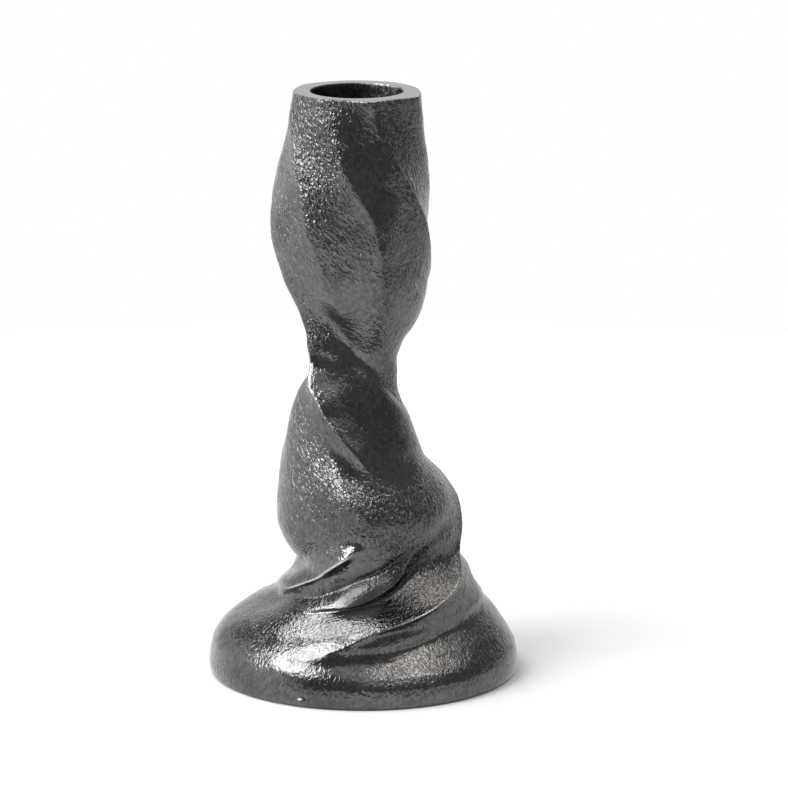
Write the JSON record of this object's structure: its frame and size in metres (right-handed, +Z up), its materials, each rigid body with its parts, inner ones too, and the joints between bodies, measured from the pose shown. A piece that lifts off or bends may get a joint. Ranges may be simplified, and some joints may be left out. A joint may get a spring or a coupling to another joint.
{
  "type": "candle holder",
  "caption": "Free-standing taper candle holder: a twisted, drapery-folded cast metal column on a broad round foot, with a plain round candle socket in its flat rim.",
  "frame": {"origin": "middle of the underside, where the felt meets the table", "axes": "+Z up along the column, +X to the right of the side that the picture shows, -Y towards its viewer"},
  "size_m": [0.079, 0.079, 0.15],
  "materials": {
    "blackened_casting": "blackened and burnished sand casting, satin, with a fine hammered grain",
    "black_felt": "dense needled felt",
    "adhesive": "thin pressed adhesive film"
  },
  "bodies": {
    "root": {"cast_body": "blackened_casting", "felt_pad": "black_felt", "adhesive_film": "adhesive"}
  },
  "joints": []
}
